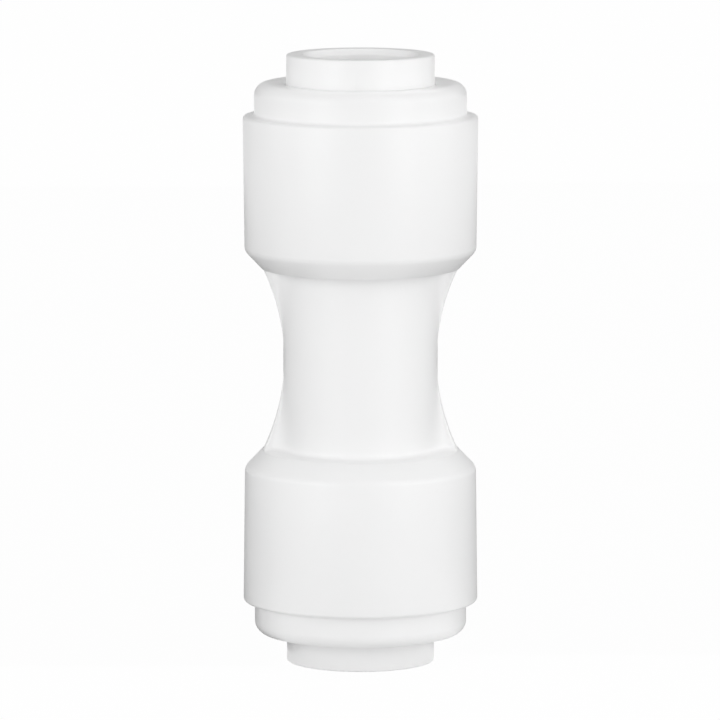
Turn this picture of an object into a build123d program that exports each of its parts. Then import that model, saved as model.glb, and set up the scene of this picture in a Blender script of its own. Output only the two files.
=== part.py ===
"""A straight push-fit connector that joins two lengths of plastic water tube end to end.

Sizes are in millimetres. The fitting stands on the end of its lower collet, with the origin in the middle
of that end face and +Z up the tube. Heights in the profiles are measured from the middle of the fitting
outwards, because its two ends are alike, and radii from the tube's axis.
"""

import os
from math import cos, radians, sin

from build123d import *

os.makedirs("parts", exist_ok=True)

# The tube, and the passages that it runs in
tube_diameter = 6.35
tube_clearance = 0.075
waterway_diameter = 4.6
tube_stop_length = 4.5
socket_lead = 0.3

# The housing's lengths, from the waist out to the mouth of each drum
waist_length = 11.4
shoulder_height = 1.1
drum_length = 8.4

# The housing's walls and steps
waist_wall = 1.55
mouth_wall = 1.28
drum_draft = 0.1
shoulder_inset = 1.05
seat_lead = 0.2

# Two fins brace the waist, each hollowed by one long arc
fin_thickness = 1.4
fin_inset = 0.1
fin_dip = 0.06
fin_bury = 0.5

# The rounded edges of the moulding
waist_root_round = 0.3
shoulder_edge_round = 0.1
drum_edge_round = 0.6
mouth_edge_round = 0.12

# The cap that closes each drum, with the cone that its bore opens into
rim_height = 2.05
rim_ledge = 0.7
rim_round = 0.8
rim_bore_round = 0.12
spigot_length = 4.6
spigot_wall = 0.65
spigot_lead = 0.25
seat_clearance = 0.02
cam_slope = 0.5

# The collet that slides in the cap and grips the tube
collet_reach = 1.75
collet_wall = 1.35
collet_edge_round = 0.12
mouth_lead = 0.15
slide_clearance = 0.1
release_travel = 1.4
release_gap = 0.2
finger_count = 6
finger_length = 4.2
finger_relief = 0.2
slot_width = 0.7
barb_height = 0.5
barb_land = 1.1
barb_lead = 0.3
barb_clearance = 0.25

# The sheet-steel tooth that is moulded into each finger
tooth_thickness = 0.3
tooth_width = 1.6
tooth_length = 1.8
tooth_slope = 40.0
tooth_height = 0.7
tooth_bite = 0.225

# The seal, its groove and the washer that keeps it there
seal_section = 1.78
seal_squeeze = 0.155
seal_clearance = 0.02
groove_width = 2.2
washer_thickness = 1.0
washer_clearance = 0.05
washer_edge_round = 0.1

# Radii, from the tube out to the housing's skin
tube_bore = tube_diameter / 2 + tube_clearance
waterway = waterway_diameter / 2
finger_bore = tube_bore + finger_relief
collet_radius = tube_bore + collet_wall
barb_radius = collet_radius + barb_height
rim_bore = collet_radius + slide_clearance
chamber_radius = barb_radius + barb_clearance
spigot_radius = chamber_radius + spigot_wall
seat_radius = spigot_radius + seat_clearance
mouth_radius = seat_radius + mouth_wall
rim_radius = mouth_radius - rim_ledge
drum_foot_radius = mouth_radius - drum_draft
shoulder_radius = drum_foot_radius - shoulder_inset
waist_radius = tube_bore + waist_wall
fin_reach = shoulder_radius - fin_inset
seal_centre = tube_diameter / 2 - seal_squeeze + seal_section / 2
groove_radius = seal_centre + seal_section / 2 + seal_clearance
tooth_tip = tube_diameter / 2 - tooth_bite

# Heights of one end, from the middle of the fitting outwards
tube_stop = tube_stop_length / 2
shoulder_foot = waist_length / 2
drum_foot = shoulder_foot + shoulder_height
mouth = drum_foot + drum_length
rim_top = mouth + rim_height
collet_end = rim_top + collet_reach
washer_top = mouth - spigot_length
washer_foot = washer_top - washer_thickness
groove_foot = washer_foot - groove_width
collet_foot = washer_top + release_gap + release_travel
finger_root = collet_foot + finger_length
barb_top = collet_foot + barb_land
cam_top = barb_top + barb_height / cam_slope
chamber_top = cam_top - (chamber_radius - rim_bore) / cam_slope

# The middle of the fitting stands this high above its lower end
middle = Vector(0, 0, collet_end)
side_plane = Plane(middle, x_dir=(1, 0, 0), z_dir=(0, -1, 0))
turned_over = Axis(middle, (1, 0, 0))


def radial_plane(angle):
    """The upright plane that holds the tube's axis and points outwards at this angle."""
    outwards = (cos(radians(angle)), sin(radians(angle)), 0)
    across = (sin(radians(angle)), -cos(radians(angle)), 0)
    return Plane(middle, x_dir=outwards, z_dir=across)


def facing_plane(angle):
    """The upright plane through the tube's axis that faces outwards at this angle."""
    outwards = (cos(radians(angle)), sin(radians(angle)), 0)
    across = (-sin(radians(angle)), cos(radians(angle)), 0)
    return Plane(middle, x_dir=across, z_dir=outwards)


def finish(piece, name):
    """Names a piece and writes it to its own file."""
    piece.label = name
    export_step(piece, f"parts/{name}.step")


def finish_both_ends(piece, name, number=""):
    """Writes a piece of the upper end, and the same piece turned over for the lower end."""
    finish(piece, f"{name}_top{number}")
    finish(piece.rotate(turned_over, 180), f"{name}_bottom{number}")


# Housing: one moulding, two drums on a waist that two fins brace
with BuildPart() as housing:
    with BuildSketch(side_plane) as skin:
        with BuildLine():
            FilletPolyline(
                (0, 0),
                (waist_radius, 0),
                (waist_radius, shoulder_foot),
                (shoulder_radius, shoulder_foot),
                (drum_foot_radius, drum_foot),
                (mouth_radius, mouth),
                (0, mouth),
                radius=[0, waist_root_round, shoulder_edge_round, drum_edge_round, mouth_edge_round],
            )
            Line((0, mouth), (0, 0))
        make_face()
        mirror(about=Plane.XZ)
    revolve(axis=Axis.Z)

    with BuildSketch(side_plane) as fins:
        with BuildLine():
            ThreePointArc((fin_reach, -shoulder_foot), (waist_radius - fin_dip, 0), (fin_reach, shoulder_foot))
            Polyline(
                (fin_reach, shoulder_foot),
                (fin_reach, shoulder_foot + fin_bury),
                (0, shoulder_foot + fin_bury),
                (0, -shoulder_foot - fin_bury),
                (fin_reach, -shoulder_foot - fin_bury),
                (fin_reach, -shoulder_foot),
            )
        make_face()
        mirror(about=Plane.YZ)
    extrude(amount=fin_thickness / 2, both=True)

    with BuildSketch(side_plane) as passage:
        with BuildLine():
            Polyline(
                (0, 0),
                (waterway, 0),
                (waterway, tube_stop),
                (tube_bore, tube_stop),
                (tube_bore, groove_foot - socket_lead),
                (tube_bore + socket_lead, groove_foot),
                (groove_radius, groove_foot),
                (groove_radius, washer_foot),
                (seat_radius, washer_foot),
                (seat_radius, mouth - seat_lead),
                (seat_radius + seat_lead, mouth),
                (0, mouth),
                close=True,
            )
        make_face()
        mirror(about=Plane.XZ)
    revolve(axis=Axis.Z, mode=Mode.SUBTRACT)
finish(housing.part, "housing")

# Seal: a rubber ring that lies in the groove and is squeezed by the tube
with BuildPart() as seal:
    with BuildSketch(side_plane) as seal_cut:
        with Locations((seal_centre, groove_foot + seal_clearance + seal_section / 2)):
            Circle(seal_section / 2)
    revolve(axis=Axis.Z)
finish_both_ends(seal.part, "seal_ring")

# Washer: closes the groove, and stops the collet before it reaches the seal
with BuildPart() as washer:
    with BuildSketch(side_plane) as washer_cut:
        with Locations((tube_bore + washer_clearance, washer_foot)):
            Rectangle(
                spigot_radius - tube_bore - washer_clearance,
                washer_thickness,
                align=(Align.MIN, Align.MIN),
            )
        fillet(washer_cut.vertices(), washer_edge_round)
    revolve(axis=Axis.Z)
finish_both_ends(washer.part, "seal_washer")

# Cap: its spigot fills the drum's mouth, and its cone squeezes the collet's fingers
with BuildPart() as cap:
    with BuildSketch(side_plane) as cap_cut:
        with BuildLine():
            FilletPolyline(
                (rim_bore, rim_top),
                (rim_radius, rim_top),
                (rim_radius, mouth),
                (spigot_radius, mouth),
                (spigot_radius, washer_top + spigot_lead),
                (spigot_radius - spigot_lead, washer_top),
                (chamber_radius, washer_top),
                (chamber_radius, chamber_top),
                (rim_bore, cam_top),
                radius=[rim_bore_round, rim_round, 0, 0, 0, 0, 0, 0, 0],
                close=True,
            )
        make_face()
    revolve(axis=Axis.Z)
finish_both_ends(cap.part, "cap")

# Teeth: a slanted strip in each finger, its edge pointing in and away from the mouth
slant = Vector(cos(radians(tooth_slope)), sin(radians(tooth_slope)))
square_to_slant = Vector(-sin(radians(tooth_slope)), cos(radians(tooth_slope)))
bite_edge = Vector(tooth_tip, collet_foot + tooth_height)
tooth_root = bite_edge + slant * tooth_length

teeth = []
for finger in range(finger_count):
    with BuildPart() as tooth:
        with BuildSketch(radial_plane(360 * finger / finger_count)) as strip:
            with BuildLine():
                Polyline(
                    bite_edge,
                    tooth_root,
                    tooth_root - square_to_slant * tooth_thickness,
                    bite_edge - square_to_slant * tooth_thickness,
                    close=True,
                )
            make_face()
        extrude(amount=tooth_width / 2, both=True)
    teeth.append(tooth.part)
    finish_both_ends(tooth.part, "grip_tooth", f"_{finger + 1}")

# Collet: a sleeve that is slit into fingers, with a barb round their ends
with BuildPart() as collet:
    with BuildSketch(side_plane) as sleeve:
        with BuildLine():
            FilletPolyline(
                (tube_bore + mouth_lead, collet_end),
                (collet_radius, collet_end),
                (collet_radius, cam_top),
                (barb_radius, barb_top),
                (barb_radius, collet_foot + barb_lead),
                (barb_radius - barb_lead, collet_foot),
                (finger_bore, collet_foot),
                (finger_bore, finger_root - finger_relief),
                (tube_bore, finger_root),
                (tube_bore, collet_end - mouth_lead),
                radius=[0, collet_edge_round, 0, 0, 0, 0, 0, 0, 0, 0],
                close=True,
            )
        make_face()
    revolve(axis=Axis.Z)

    for finger in range(finger_count):
        with BuildSketch(facing_plane(360 * (finger + 0.5) / finger_count)) as slot:
            with Locations((0, collet_foot)):
                Rectangle(slot_width, finger_length - slot_width / 2, align=(Align.CENTER, Align.MIN))
            with Locations((0, finger_root - slot_width / 2)):
                Circle(slot_width / 2)
        extrude(amount=barb_radius + barb_height, mode=Mode.SUBTRACT)

    add(teeth, mode=Mode.SUBTRACT)
finish_both_ends(collet.part, "collet")
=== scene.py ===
from math import atan2, cos, pi, radians, sin, sqrt, tan

import bmesh
import bpy
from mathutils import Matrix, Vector


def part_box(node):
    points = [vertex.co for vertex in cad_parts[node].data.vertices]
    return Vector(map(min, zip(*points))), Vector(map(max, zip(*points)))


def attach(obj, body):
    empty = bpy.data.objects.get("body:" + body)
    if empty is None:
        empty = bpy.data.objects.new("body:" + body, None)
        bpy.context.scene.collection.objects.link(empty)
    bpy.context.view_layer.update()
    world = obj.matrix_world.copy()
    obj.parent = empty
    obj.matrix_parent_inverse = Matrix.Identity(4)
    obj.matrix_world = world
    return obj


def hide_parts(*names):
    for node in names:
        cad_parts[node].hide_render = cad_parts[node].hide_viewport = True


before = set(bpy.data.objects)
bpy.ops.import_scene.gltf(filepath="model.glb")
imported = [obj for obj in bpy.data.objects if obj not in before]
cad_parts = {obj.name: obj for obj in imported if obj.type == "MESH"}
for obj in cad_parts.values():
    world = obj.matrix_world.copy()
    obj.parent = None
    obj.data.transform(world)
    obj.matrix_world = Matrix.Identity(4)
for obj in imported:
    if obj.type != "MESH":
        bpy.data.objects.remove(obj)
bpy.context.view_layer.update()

mm = 0.001  # pieces are drawn in millimetres and brought to metres when they are finished
near = 0.001  # how close, in those millimetres, a point has to lie to a place to count as there

# The fitting is alike both ways from its middle, so heights are counted from there
housingLow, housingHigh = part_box("housing")
middleHeight = (housingLow.z + housingHigh.z) / 2 / mm


# Helpers

def linearColour(hexCode):
    # an sRGB hex colour as the linear values that a shader takes
    parts = [int(hexCode[i:i + 2], 16) / 255 for i in (1, 3, 5)]
    return [p / 12.92 if p <= 0.04045 else ((p + 0.055) / 1.055) ** 2.4 for p in parts] + [1.0]


def addNode(tree, kind, links=None, values=None, **settings):
    # one node with its settings, its links from other nodes and the values of its sockets
    node = tree.nodes.new(kind)
    for key, value in settings.items():
        setattr(node, key, value)
    for socket, source in (links or {}).items():
        tree.links.new(source, node.inputs[socket])
    for socket, value in (values or {}).items():
        node.inputs[socket].default_value = value
    return node


def emptyMaterial(name):
    material = bpy.data.materials.new(name)
    material.use_nodes = True
    material.node_tree.nodes.clear()
    return material, material.node_tree


def patternScale(size):
    # the scale of a noise whose marks are so many millimetres across
    return 1 / (size * mm)


def deselectAll():
    if bpy.context.object and bpy.context.object.mode != "OBJECT":
        bpy.ops.object.mode_set(mode="OBJECT")
    bpy.ops.object.select_all(action="DESELECT")


def workOn(piece):
    deselectAll()
    piece.select_set(True)
    bpy.context.view_layer.objects.active = piece


def pick(piece, kind, test):
    # in edit mode, selects the vertices, edges or faces whose middle passes the test
    bpy.ops.mesh.select_mode(type=kind)
    bpy.ops.mesh.select_all(action="DESELECT")
    shape = bmesh.from_edit_mesh(piece.data)
    for part in {"VERT": shape.verts, "EDGE": shape.edges, "FACE": shape.faces}[kind]:
        middle = part.co if kind == "VERT" else sum((v.co for v in part.verts), Vector()) / len(part.verts)
        if test(middle):
            part.select_set(True)
    shape.select_flush_mode()
    bmesh.update_edit_mesh(piece.data)


def applyModifiers(piece):
    workOn(piece)
    for modifier in list(piece.modifiers):
        bpy.ops.object.modifier_apply(modifier=modifier.name)


def drawSection(name, corners):
    # a section on the XZ plane, walked from corner to corner, out of a plane merged to its first point.
    # A sharp corner is (radius, height) and a soft one (radius, height, round, steps)
    deselectAll()
    bpy.ops.mesh.primitive_plane_add(size=0.1, location=(corners[0][0], 0, corners[0][1]))
    bpy.ops.object.transform_apply(location=True, rotation=True, scale=True)
    piece = bpy.context.object
    piece.name = piece.data.name = name
    bpy.ops.object.mode_set(mode="EDIT")
    bpy.ops.mesh.select_mode(type="VERT")
    bpy.ops.mesh.select_all(action="SELECT")
    bpy.ops.mesh.merge(type="CENTER")
    for here, there in zip(corners, corners[1:]):
        step = (there[0] - here[0], 0, there[1] - here[1])
        bpy.ops.mesh.extrude_vertices_move(TRANSFORM_OT_translate={"value": step})
    bpy.ops.mesh.select_all(action="SELECT")
    bpy.ops.mesh.edge_face_add()
    for number, corner in enumerate(corners):
        if len(corner) > 2:
            before, here, after = (Vector(corners[(number + k) % len(corners)][:2]) for k in (-1, 0, 1))
            turn = (here - before).angle(after - here)
            pick(piece, "VERT", lambda place: (place - Vector((here.x, 0, here.y))).length < near)
            bpy.ops.mesh.bevel(offset=corner[2] * tan(turn / 2), segments=corner[3], affect="VERTICES")
    bpy.ops.mesh.select_all(action="SELECT")
    bpy.ops.mesh.delete(type="ONLY_FACE")
    return piece


def spinRound(columns):
    # turns the section about the tube's axis and closes the seam
    bpy.ops.mesh.select_all(action="SELECT")
    bpy.ops.mesh.spin(steps=columns, angle=2 * pi, center=(0, 0, 0), axis=(0, 0, 1))
    bpy.ops.mesh.select_all(action="SELECT")
    bpy.ops.mesh.remove_doubles(threshold=near)
    bpy.ops.mesh.normals_make_consistent(inside=False)


def copyOf(piece, name):
    # the same piece once more, with its own mesh, as the one that is worked on
    twin = piece.copy()
    twin.data = piece.data.copy()
    twin.name = twin.data.name = name
    bpy.context.scene.collection.objects.link(twin)
    workOn(twin)
    return twin


def turnMesh(turn, axis):
    # turns the mesh of the piece that is worked on, about an axis through the fitting's middle
    bpy.ops.object.mode_set(mode="EDIT")
    bpy.ops.mesh.select_all(action="SELECT")
    bpy.ops.transform.rotate(value=turn, orient_axis=axis, center_override=(0, 0, 0))
    bpy.ops.object.mode_set(mode="OBJECT")


def copyTurnedOver(piece, name):
    # the same piece for the fitting's other end
    twin = copyOf(piece, name)
    turnMesh(pi, "X")
    return twin


def finishPiece(piece, node, body, material, sharpAngle=32):
    # brings a piece to metres and to its height, then gives it its shading, its material and its place
    workOn(piece)
    piece.scale = (mm, mm, mm)
    piece.location = (0, 0, middleHeight * mm)
    bpy.ops.object.transform_apply(location=True, rotation=True, scale=True)
    bpy.ops.object.shade_smooth_by_angle(angle=radians(sharpAngle))
    piece.data.materials.clear()
    piece.data.materials.append(material)
    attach(piece, body)
    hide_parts(node)
    print(piece.name, "ready,", len(piece.data.polygons), "faces")


# Camera: a long lens a little above the fitting, worked out from the outline in the photograph

camera = {
    "place": (-0.03, -441.6, 78.84),
    "downDegrees": 7.73,
    "lens": 358.05,
    "sensor": 36,
    "seesFrom": 10,
    "seesTo": 20000,
}


def makeCamera():
    deselectAll()
    place = [value * mm for value in camera["place"]]
    bpy.ops.object.camera_add(location=place, rotation=(radians(90 - camera["downDegrees"]), 0, 0))
    shot = bpy.context.object
    shot.name = "camera"
    shot.data.sensor_width = camera["sensor"]
    shot.data.lens = camera["lens"]
    shot.data.clip_start = camera["seesFrom"] * mm
    shot.data.clip_end = camera["seesTo"] * mm
    bpy.context.scene.camera = shot


makeCamera()
print("camera ready")


# Studio: white paper under the fitting, a pale room, soft lamps, and grey boards that darken its edges.
# Its places and sizes are in metres

studio = {
    "paperSize": 4.0,
    "paperColour": "#F2F2F2",
    "paperWhite": 0.98,
    "roomLevel": 0.41,
    "lampSize": 0.9,
    "lamps": {
        "frontRight": {"place": (0.968, -0.968, 0.311), "power": 4.4},
        "frontLeft": {"place": (-0.968, -0.968, 0.311), "power": 4.9},
        "upperRight": {"place": (0.7, -0.7, 1.01), "power": 2.1},
        "upperLeft": {"place": (-0.7, -0.7, 1.01), "power": 0.5},
        "right": {"place": (1.347, -0.118, 0.382), "power": 3.2},
        "left": {"place": (-1.347, -0.118, 0.382), "power": 2.8},
        "behind": {"place": (0.1, 0.9, 1.092), "power": 3.8},
    },
    "boards": {
        "boardLeft": {"place": (-0.0755, 0.1325, 0.0003), "size": (0.14, 0.27), "lean": 0,
                      "colour": "#585858"},
        "boardRight": {"place": (0.0755, 0.1365, 0.0003), "size": (0.14, 0.27), "lean": 0,
                       "colour": "#787878"},
        "boardBehind": {"place": (0, 0.6, 0.26), "size": (1.2, 0.5), "lean": 90,
                        "colour": "#808080"},
    },
}


def backgroundShare(tree):
    # one for the rays that see the white background: from the camera, off gloss or through glass
    rays = addNode(tree, "ShaderNodeLightPath").outputs
    either = addNode(tree, "ShaderNodeMath", {0: rays["Is Camera Ray"], 1: rays["Is Glossy Ray"]},
                     operation="MAXIMUM")
    return addNode(tree, "ShaderNodeMath", {0: either.outputs[0], 1: rays["Is Transmission Ray"]},
                   operation="MAXIMUM").outputs[0]


def makeRoom():
    bpy.context.scene.view_settings.view_transform = "Standard"
    world = bpy.data.worlds.new("paleRoom")
    bpy.context.scene.world = world
    world.use_nodes = True
    tree = world.node_tree
    tree.nodes.clear()
    white = linearColour("#FFFFFF")
    room = addNode(tree, "ShaderNodeBackground", values={"Color": white, "Strength": studio["roomLevel"]})
    seen = addNode(tree, "ShaderNodeBackground", values={"Color": white, "Strength": 1.0})
    mixed = addNode(tree, "ShaderNodeMixShader",
                    {0: backgroundShare(tree), 1: room.outputs[0], 2: seen.outputs[0]})
    addNode(tree, "ShaderNodeOutputWorld", {"Surface": mixed.outputs[0]})


def mattPaper():
    # matt white paper: the background comes out white and keeps a little of the shadow
    material, tree = emptyMaterial("mattPaper")
    share = addNode(tree, "ShaderNodeMath", {0: backgroundShare(tree)}, {1: studio["paperWhite"]},
                    operation="MULTIPLY")
    paper = addNode(tree, "ShaderNodeBsdfDiffuse", values={"Color": linearColour(studio["paperColour"])})
    white = addNode(tree, "ShaderNodeEmission", values={"Color": linearColour("#FFFFFF"), "Strength": 1.0})
    mixed = addNode(tree, "ShaderNodeMixShader",
                    {0: share.outputs[0], 1: paper.outputs[0], 2: white.outputs[0]})
    addNode(tree, "ShaderNodeOutputMaterial", {"Surface": mixed.outputs[0]})
    return material


def paintedBoard(name, colour):
    # matt grey paint
    material, tree = emptyMaterial(name)
    board = addNode(tree, "ShaderNodeBsdfDiffuse", values={"Color": linearColour(colour)})
    addNode(tree, "ShaderNodeOutputMaterial", {"Surface": board.outputs[0]})
    return material


def makeStudio():
    makeRoom()
    deselectAll()
    bpy.ops.mesh.primitive_plane_add(size=studio["paperSize"])
    paper = bpy.context.object
    paper.name = "paper"
    paper.data.materials.append(mattPaper())
    for name, board in studio["boards"].items():
        deselectAll()
        bpy.ops.mesh.primitive_plane_add(size=1, location=board["place"],
                                         rotation=(radians(board["lean"]), 0, 0))
        card = bpy.context.object
        card.name = name
        card.scale = (board["size"][0], board["size"][1], 1)
        card.data.materials.append(paintedBoard(name + "Paint", board["colour"]))
        card.visible_camera = card.visible_shadow = False
    for name, lamp in studio["lamps"].items():
        bpy.ops.object.light_add(type="AREA", location=lamp["place"])
        light = bpy.context.object
        light.name = name
        light.data.shape = "DISK"
        light.data.size = studio["lampSize"]
        light.data.energy = lamp["power"]
        aim = Vector((0, 0, middleHeight * mm)) - light.location
        light.rotation_euler = aim.to_track_quat("-Z", "Y").to_euler()


makeStudio()
print("studio ready")


# Materials, with the size of each pattern's marks in millimetres

patternSizes = {
    "acetalCloud": 5.556,
    "acetalGrain": 0.1111,
    "rubberDust": 1.111,
    "rubberGrain": 0.125,
    "nylonCloud": 2.5,
    "steelLineLength": 1.667,
    "steelLineGap": 0.06667,
}


def mouldedAcetal():
    # white acetal out of a satin mould: a soft gloss that is not quite even
    material, tree = emptyMaterial("mouldedAcetal")
    where = addNode(tree, "ShaderNodeTexCoord").outputs["Object"]
    clouds = addNode(tree, "ShaderNodeTexNoise", {"Vector": where},
                     {"Scale": patternScale(patternSizes["acetalCloud"]), "Detail": 3.0}).outputs["Fac"]
    tone = addNode(tree, "ShaderNodeMix", {0: clouds},
                   {6: linearColour("#F7F7F7"), 7: linearColour("#FAFAFA")}, data_type="RGBA")
    gloss = addNode(tree, "ShaderNodeMapRange", {"Value": clouds}, {"To Min": 0.30, "To Max": 0.38})
    # the real grain is some hundredths of a millimetre, drawn at about 0.1 mm for a close view
    grain = addNode(tree, "ShaderNodeTexNoise", {"Vector": where},
                    {"Scale": patternScale(patternSizes["acetalGrain"]), "Detail": 2.0}).outputs["Fac"]
    bump = addNode(tree, "ShaderNodeBump", {"Height": grain}, {"Strength": 0.05, "Distance": 0.00002})
    skin = addNode(tree, "ShaderNodeBsdfPrincipled",
                   {"Base Color": tone.outputs[2], "Roughness": gloss.outputs[0], "Normal": bump.outputs[0]},
                   {"IOR": 1.48})
    addNode(tree, "ShaderNodeOutputMaterial", {"Surface": skin.outputs[0]})
    return material


def mouldedRubber():
    # black seal rubber out of a polished mould: dark, a little dusty, with a dull sheen
    material, tree = emptyMaterial("mouldedRubber")
    where = addNode(tree, "ShaderNodeTexCoord").outputs["Object"]
    dust = addNode(tree, "ShaderNodeTexNoise", {"Vector": where},
                   {"Scale": patternScale(patternSizes["rubberDust"]), "Detail": 4.0}).outputs["Fac"]
    tone = addNode(tree, "ShaderNodeMix", {0: dust},
                   {6: linearColour("#1B1B1B"), 7: linearColour("#2A2A29")}, data_type="RGBA")
    sheen = addNode(tree, "ShaderNodeMapRange", {"Value": dust}, {"To Min": 0.42, "To Max": 0.62})
    # the real grain is some hundredths of a millimetre, drawn at about 0.12 mm for a close view
    grain = addNode(tree, "ShaderNodeTexNoise", {"Vector": where},
                    {"Scale": patternScale(patternSizes["rubberGrain"]), "Detail": 2.0}).outputs["Fac"]
    bump = addNode(tree, "ShaderNodeBump", {"Height": grain}, {"Strength": 0.2, "Distance": 0.00003})
    skin = addNode(tree, "ShaderNodeBsdfPrincipled",
                   {"Base Color": tone.outputs[2], "Roughness": sheen.outputs[0], "Normal": bump.outputs[0]},
                   {"IOR": 1.52})
    addNode(tree, "ShaderNodeOutputMaterial", {"Surface": skin.outputs[0]})
    return material


def mouldedNylon():
    # natural nylon, moulded and not dyed: a creamy, slightly cloudy white
    material, tree = emptyMaterial("mouldedNylon")
    where = addNode(tree, "ShaderNodeTexCoord").outputs["Object"]
    clouds = addNode(tree, "ShaderNodeTexNoise", {"Vector": where},
                     {"Scale": patternScale(patternSizes["nylonCloud"]), "Detail": 3.0}).outputs["Fac"]
    tone = addNode(tree, "ShaderNodeMix", {0: clouds},
                   {6: linearColour("#DDD7C4"), 7: linearColour("#E9E4D6")}, data_type="RGBA")
    gloss = addNode(tree, "ShaderNodeMapRange", {"Value": clouds}, {"To Min": 0.36, "To Max": 0.48})
    skin = addNode(tree, "ShaderNodeBsdfPrincipled",
                   {"Base Color": tone.outputs[2], "Roughness": gloss.outputs[0]}, {"IOR": 1.53})
    addNode(tree, "ShaderNodeOutputMaterial", {"Surface": skin.outputs[0]})
    return material


def rolledSteel():
    # stainless strip as it leaves the rolls: bright, with fine level lines, the way its biting edge runs
    material, tree = emptyMaterial("rolledSteel")
    where = addNode(tree, "ShaderNodeTexCoord").outputs["Object"]
    # the real lines are some 0.01 mm apart, and are drawn at about 0.07 mm so that a close view shows them
    along = patternScale(patternSizes["steelLineLength"])
    across = patternScale(patternSizes["steelLineGap"])
    level = addNode(tree, "ShaderNodeMapping", {"Vector": where}, {"Scale": (along, along, across)})
    lines = addNode(tree, "ShaderNodeTexNoise", {"Vector": level.outputs[0]},
                    {"Scale": 1.0, "Detail": 1.0}).outputs["Fac"]
    tone = addNode(tree, "ShaderNodeMix", {0: lines},
                   {6: linearColour("#BDBCB9"), 7: linearColour("#D2D1CE")}, data_type="RGBA")
    gloss = addNode(tree, "ShaderNodeMapRange", {"Value": lines}, {"To Min": 0.22, "To Max": 0.38})
    bump = addNode(tree, "ShaderNodeBump", {"Height": lines}, {"Strength": 0.15, "Distance": 0.00001})
    skin = addNode(tree, "ShaderNodeBsdfPrincipled",
                   {"Base Color": tone.outputs[2], "Roughness": gloss.outputs[0], "Normal": bump.outputs[0]},
                   {"Metallic": 1.0})
    addNode(tree, "ShaderNodeOutputMaterial", {"Surface": skin.outputs[0]})
    return material


acetal = mouldedAcetal()
steel = rolledSteel()
sealFinishes = {"seal_ring": mouldedRubber(), "seal_washer": mouldedNylon()}
for node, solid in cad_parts.items():
    for start, material in sealFinishes.items():
        if node.startswith(start):
            for slot in solid.material_slots:
                slot.material = material
print("materials ready")


# Housing: two drums on a waist that two fins brace, one moulding. Half is turned, then mirrored

housing = {
    "columns": 256,
    "waistRadius": 4.8,
    "waistHalf": 5.7,
    "waistRound": 0.3,
    "waistLevels": 28,
    "shoulderRadius": 6.15,
    "shoulderRound": 0.1,
    "shoulderHeight": 1.1,
    "drumFootRadius": 7.2,
    "drumFootRound": 0.6,
    "drumLength": 8.4,
    "mouthRadius": 7.3,
    "mouthRound": 0.2,
    "seatRadius": 6.02,
    "seatLead": 0.2,
    "washerFoot": 9.6,
    "grooveRadius": 4.82,
    "grooveFoot": 7.4,
    "socketLead": 0.3,
    "tubeBore": 3.25,
    "tubeStop": 2.25,
    "waterway": 2.3,
}

fins = {
    "halfThickness": 0.7,
    "reach": 6.05,
    "dip": 0.06,
    "edgeRound": 0.2,
    "edgeShare": 0.15,
    "columns": 20,
    "flatColumns": 1,
    "roundColumns": 3,
}


def finReachAt(height):
    # how far the long hollow arc of the fin's edge stands from the axis
    low = housing["waistRadius"] - fins["dip"]
    rise = fins["reach"] - low
    arc = (housing["waistHalf"] ** 2 + rise ** 2) / (2 * rise)
    return low + arc - sqrt(arc ** 2 - height ** 2)


def finOutline(column, height, wall):
    # one point of the level cut through fin and waist: the fin's flat edge, its soft corner, then its
    # hollow side, which runs out into the bare waist
    half = fins["halfThickness"] + wall - housing["waistRadius"]
    root = sqrt(wall ** 2 - half ** 2)
    tall = max(finReachAt(height) - root, 0)
    soft = min(fins["edgeRound"], fins["edgeShare"] * tall)
    landing = sin(fins["columns"] * 2 * pi / housing["columns"]) * wall
    flatEnd = fins["flatColumns"]
    roundEnd = flatEnd + fins["roundColumns"]
    if column <= flatEnd:
        out, across = root + tall, (half - soft) * column / flatEnd
    elif column <= roundEnd:
        turn = (column - flatEnd) / fins["roundColumns"] * pi / 2
        out, across = root + tall - soft * (1 - cos(turn)), half - soft * (1 - sin(turn))
    else:
        turn = (fins["columns"] - column) / (fins["columns"] - roundEnd) * pi / 2
        across = landing - (landing - half) * sin(turn)
        out = sqrt(wall ** 2 - across ** 2) + (tall - soft) * (1 - cos(turn))
    return max(out, sqrt(wall ** 2 - across ** 2)), across


def raiseFins(piece):
    # draws the waist's columns nearest to the X axis out into the fins, with the soft roots of the moulding
    shape = bmesh.from_edit_mesh(piece.data)
    columnTurn = 2 * pi / housing["columns"]
    top = housing["waistRadius"] + housing["waistRound"]
    for vertex in shape.verts:
        x, y, height = vertex.co
        wall = sqrt(x * x + y * y)
        column = round(atan2(abs(y), abs(x)) / columnTurn)
        onWall = housing["waistRadius"] - near < wall < top + near
        if onWall and height < housing["waistHalf"] + near and column < fins["columns"]:
            out, across = finOutline(column, height, wall)
            vertex.co.x = out if x > 0 else -out
            vertex.co.y = across if y > 0 else -across
    bmesh.update_edit_mesh(piece.data)


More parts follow.
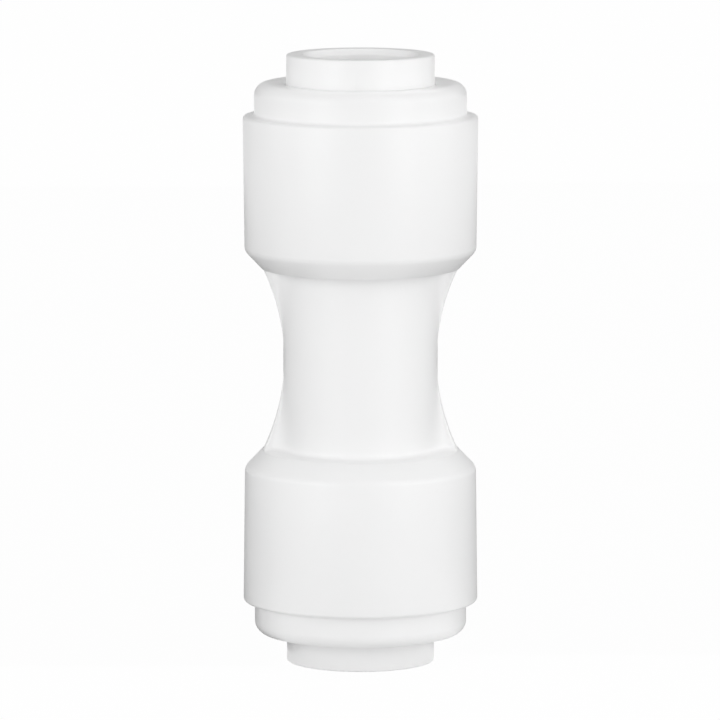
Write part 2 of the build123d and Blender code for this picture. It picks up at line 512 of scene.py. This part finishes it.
def makeHousing():
    form = housing
    shoulderTop = form["waistHalf"] + form["shoulderHeight"]
    mouth = shoulderTop + form["drumLength"]
    corners = [
        (form["waistRadius"], 0),
        (form["waistRadius"], form["waistHalf"], form["waistRound"], 4),
        (form["shoulderRadius"], form["waistHalf"], form["shoulderRound"], 2),
        (form["drumFootRadius"], shoulderTop, form["drumFootRound"], 4),
        (form["mouthRadius"], mouth, form["mouthRound"], 3),
        (form["seatRadius"] + form["seatLead"], mouth),
        (form["seatRadius"], mouth - form["seatLead"]),
        (form["seatRadius"], form["washerFoot"]),
        (form["grooveRadius"], form["washerFoot"]),
        (form["grooveRadius"], form["grooveFoot"]),
        (form["tubeBore"] + form["socketLead"], form["grooveFoot"]),
        (form["tubeBore"], form["grooveFoot"] - form["socketLead"]),
        (form["tubeBore"], form["tubeStop"]),
        (form["waterway"], form["tubeStop"]),
        (form["waterway"], 0),
    ]
    piece = drawSection("housingBody", corners)
    pick(piece, "EDGE", lambda place: abs(place.z) < near)
    bpy.ops.mesh.delete(type="EDGE")
    wallMiddle = Vector((form["waistRadius"], 0, (form["waistHalf"] - form["waistRound"]) / 2))
    pick(piece, "EDGE", lambda place: (place - wallMiddle).length < near)
    bpy.ops.mesh.subdivide(number_cuts=form["waistLevels"] - 1)
    spinRound(form["columns"])
    raiseFins(piece)
    deselectAll()
    otherEnd = piece.modifiers.new("otherEnd", "MIRROR")
    otherEnd.use_axis = (False, False, True)
    otherEnd.merge_threshold = near
    applyModifiers(piece)
    return piece


housingPiece = makeHousing()
finishPiece(housingPiece, "housing", "housing", acetal)


# Caps: a rim on each drum's mouth, with a spigot that fills the drum and a cone for the collet's fingers

cap = {
    "columns": 192,
    "boreRadius": 4.65,
    "boreRound": 0.12,
    "rimRadius": 6.6,
    "rimTop": 17.25,
    "rimDish": 0.1,
    "rimDishInset": 0.05,
    "rimFoot": 15.2,
    "rimRound": 0.8,
    "rimFlare": 0.22,
    "rimFlareRise": 0.02,
    "rimFlareRound": 0.21,
    "spigotRadius": 6.0,
    "spigotFoot": 10.6,
    "spigotLead": 0.25,
    "chamberRadius": 5.35,
    "chamberTop": 13.0,
    "coneTop": 14.3,
}


def makeCap():
    form = cap
    corners = [
        (form["boreRadius"], form["rimTop"] - form["rimDish"], form["boreRound"], 3),
        (form["rimRadius"] - form["rimRound"] - form["rimDishInset"], form["rimTop"]),
        (form["rimRadius"], form["rimTop"], form["rimRound"], 8),
        (form["rimRadius"], form["rimFoot"] + form["rimFlareRise"], form["rimFlareRound"], 4),
        (form["rimRadius"] + form["rimFlare"], form["rimFoot"]),
        (form["spigotRadius"], form["rimFoot"]),
        (form["spigotRadius"], form["spigotFoot"] + form["spigotLead"]),
        (form["spigotRadius"] - form["spigotLead"], form["spigotFoot"]),
        (form["chamberRadius"], form["spigotFoot"]),
        (form["chamberRadius"], form["chamberTop"]),
        (form["boreRadius"], form["coneTop"]),
    ]
    piece = drawSection("capTop", corners)
    spinRound(form["columns"])
    deselectAll()
    return piece


capTop = makeCap()
capBottom = copyTurnedOver(capTop, "capBottom")
finishPiece(capTop, "cap_top", "housing", acetal)
finishPiece(capBottom, "cap_bottom", "housing", acetal)


# Collets: a sleeve that slides in each cap, slit into fingers with a barb round their ends

collet = {
    "columns": 192,
    "boreRadius": 3.25,
    "outerRadius": 4.6,
    "end": 19.0,
    "mouthLead": 0.34,
    "mouthRound": 0.08,
    "edgeRound": 0.12,
    "coneTop": 14.3,
    "barbRadius": 5.1,
    "barbTop": 13.3,
    "barbLead": 0.3,
    "foot": 12.2,
    "fingerBore": 3.45,
    "fingerRoot": 16.4,
    "slotPairs": 3,
    "slotWidth": 0.7,
    "slotRound": 0.343,
    "slotRoundSteps": 8,
    "slotSpare": 1.0,
}


def makeSlotCutters():
    # three bars through the axis that leave the six slots. The first is copied before the bar leaves edit
    # mode, so its top stays square, and the others have a round one
    form = collet
    half = form["slotWidth"] / 2
    tall = form["fingerRoot"] - form["foot"] + form["slotSpare"]
    long = form["barbRadius"] * 2 + form["slotSpare"]
    deselectAll()
    bpy.ops.mesh.primitive_cube_add(size=1, location=(0, 0, form["fingerRoot"] - tall / 2))
    bpy.ops.transform.resize(value=(long, form["slotWidth"], tall))
    bpy.ops.object.transform_apply(location=True, rotation=True, scale=True)
    bar = bpy.context.object
    bpy.ops.object.mode_set(mode="EDIT")
    pick(bar, "EDGE", lambda place: place.z > form["fingerRoot"] - near and abs(place.y) > half - near)
    bpy.ops.mesh.bevel(offset=form["slotRound"], segments=form["slotRoundSteps"])
    cutters = []
    for pair in range(form["slotPairs"]):
        cutters.append(copyOf(bar, "slotCutter" + str(pair + 1)))
        turnMesh((pair + 0.5) * pi / form["slotPairs"], "Z")
    bpy.data.objects.remove(bar)
    return cutters


def makeCollet():
    form = collet
    corners = [
        (form["boreRadius"] + form["mouthLead"], form["end"], form["mouthRound"], 2),
        (form["outerRadius"], form["end"], form["edgeRound"], 3),
        (form["outerRadius"], form["coneTop"]),
        (form["barbRadius"], form["barbTop"]),
        (form["barbRadius"], form["foot"] + form["barbLead"]),
        (form["barbRadius"] - form["barbLead"], form["foot"]),
        (form["fingerBore"], form["foot"]),
        (form["fingerBore"], form["fingerRoot"] - form["fingerBore"] + form["boreRadius"]),
        (form["boreRadius"], form["fingerRoot"]),
        (form["boreRadius"], form["end"] - form["mouthLead"], form["mouthRound"], 2),
    ]
    piece = drawSection("colletTop", corners)
    spinRound(form["columns"])
    deselectAll()
    for cutter in makeSlotCutters():
        slot = piece.modifiers.new("slot", "BOOLEAN")
        slot.operation = "DIFFERENCE"
        slot.solver = "EXACT"
        slot.object = cutter
        applyModifiers(piece)
        bpy.data.objects.remove(cutter)
    return piece


colletTop = makeCollet()
colletBottom = copyTurnedOver(colletTop, "colletBottom")
finishPiece(colletTop, "collet_top", "collet_top", acetal)
finishPiece(colletBottom, "collet_bottom", "collet_bottom", acetal)


# Grip teeth: a slanted strip in each finger, with a ground edge hollowed to the tube's curve

tooth = {
    "count": 6,
    "length": 1.8,
    "width": 1.6,
    "thickness": 0.3,
    "slope": 40,
    "edgeRadius": 2.95,
    "edgeHeight": 12.9,
    "cornerRound": 0.22,
    "cornerSteps": 4,
    "edgeCuts": 7,
    "hollow": 0.09,
    "grind": 0.14,
    "burrRound": 0.03,
    "burrSteps": 2,
    "sharpAngle": 15,
}


def makeTooth():
    # laid flat with its biting edge through the origin, then slanted and brought to the first finger
    form = tooth
    side = form["width"] / 2
    deselectAll()
    bpy.ops.mesh.primitive_cube_add(size=1, location=(form["length"] / 2, 0, -form["thickness"] / 2))
    strip = bpy.context.object
    strip.name = strip.data.name = "gripToothTop1"
    strip.scale = (form["length"], form["width"], form["thickness"])
    bpy.ops.object.transform_apply(location=True, rotation=True, scale=True)
    bpy.ops.object.mode_set(mode="EDIT")
    pick(strip, "EDGE", lambda place: abs(place.x) < near and abs(place.y) < near)
    bpy.ops.mesh.subdivide(number_cuts=form["edgeCuts"])
    pick(strip, "EDGE", lambda place: abs(place.x) < near and abs(abs(place.y) - side) < near)
    bpy.ops.mesh.bevel(offset=form["cornerRound"], segments=form["cornerSteps"])
    shape = bmesh.from_edit_mesh(strip.data)
    for vertex in shape.verts:
        if vertex.co.x < form["length"] / 2:
            vertex.co.x += form["hollow"] * (1 - (vertex.co.y / side) ** 2)
            if vertex.co.z < -form["thickness"] / 2:
                vertex.co.x += form["grind"]
    bmesh.update_edit_mesh(strip.data)
    deselectAll()
    burr = strip.modifiers.new("burr", "BEVEL")
    burr.width = form["burrRound"]
    burr.segments = form["burrSteps"]
    burr.limit_method = "ANGLE"
    applyModifiers(strip)
    strip.rotation_euler.y = -radians(form["slope"])
    strip.location = (form["edgeRadius"], 0, form["edgeHeight"])
    bpy.ops.object.transform_apply(location=True, rotation=True, scale=True)
    return strip


def makeTeeth():
    first = makeTooth()
    teeth = [first]
    for number in range(2, tooth["count"] + 1):
        copied = copyOf(first, "gripToothTop" + str(number))
        copied.rotation_euler.z = (number - 1) * 2 * pi / tooth["count"]
        bpy.ops.object.transform_apply(location=True, rotation=True, scale=True)
        teeth.append(copied)
    return teeth


topTeeth = makeTeeth()
bottomTeeth = [copyTurnedOver(piece, piece.name.replace("Top", "Bottom")) for piece in topTeeth]
for end, teeth in (("top", topTeeth), ("bottom", bottomTeeth)):
    for number, piece in enumerate(teeth, 1):
        node = "grip_tooth_" + end + "_" + str(number)
        finishPiece(piece, node, "collet_" + end, steel, tooth["sharpAngle"])
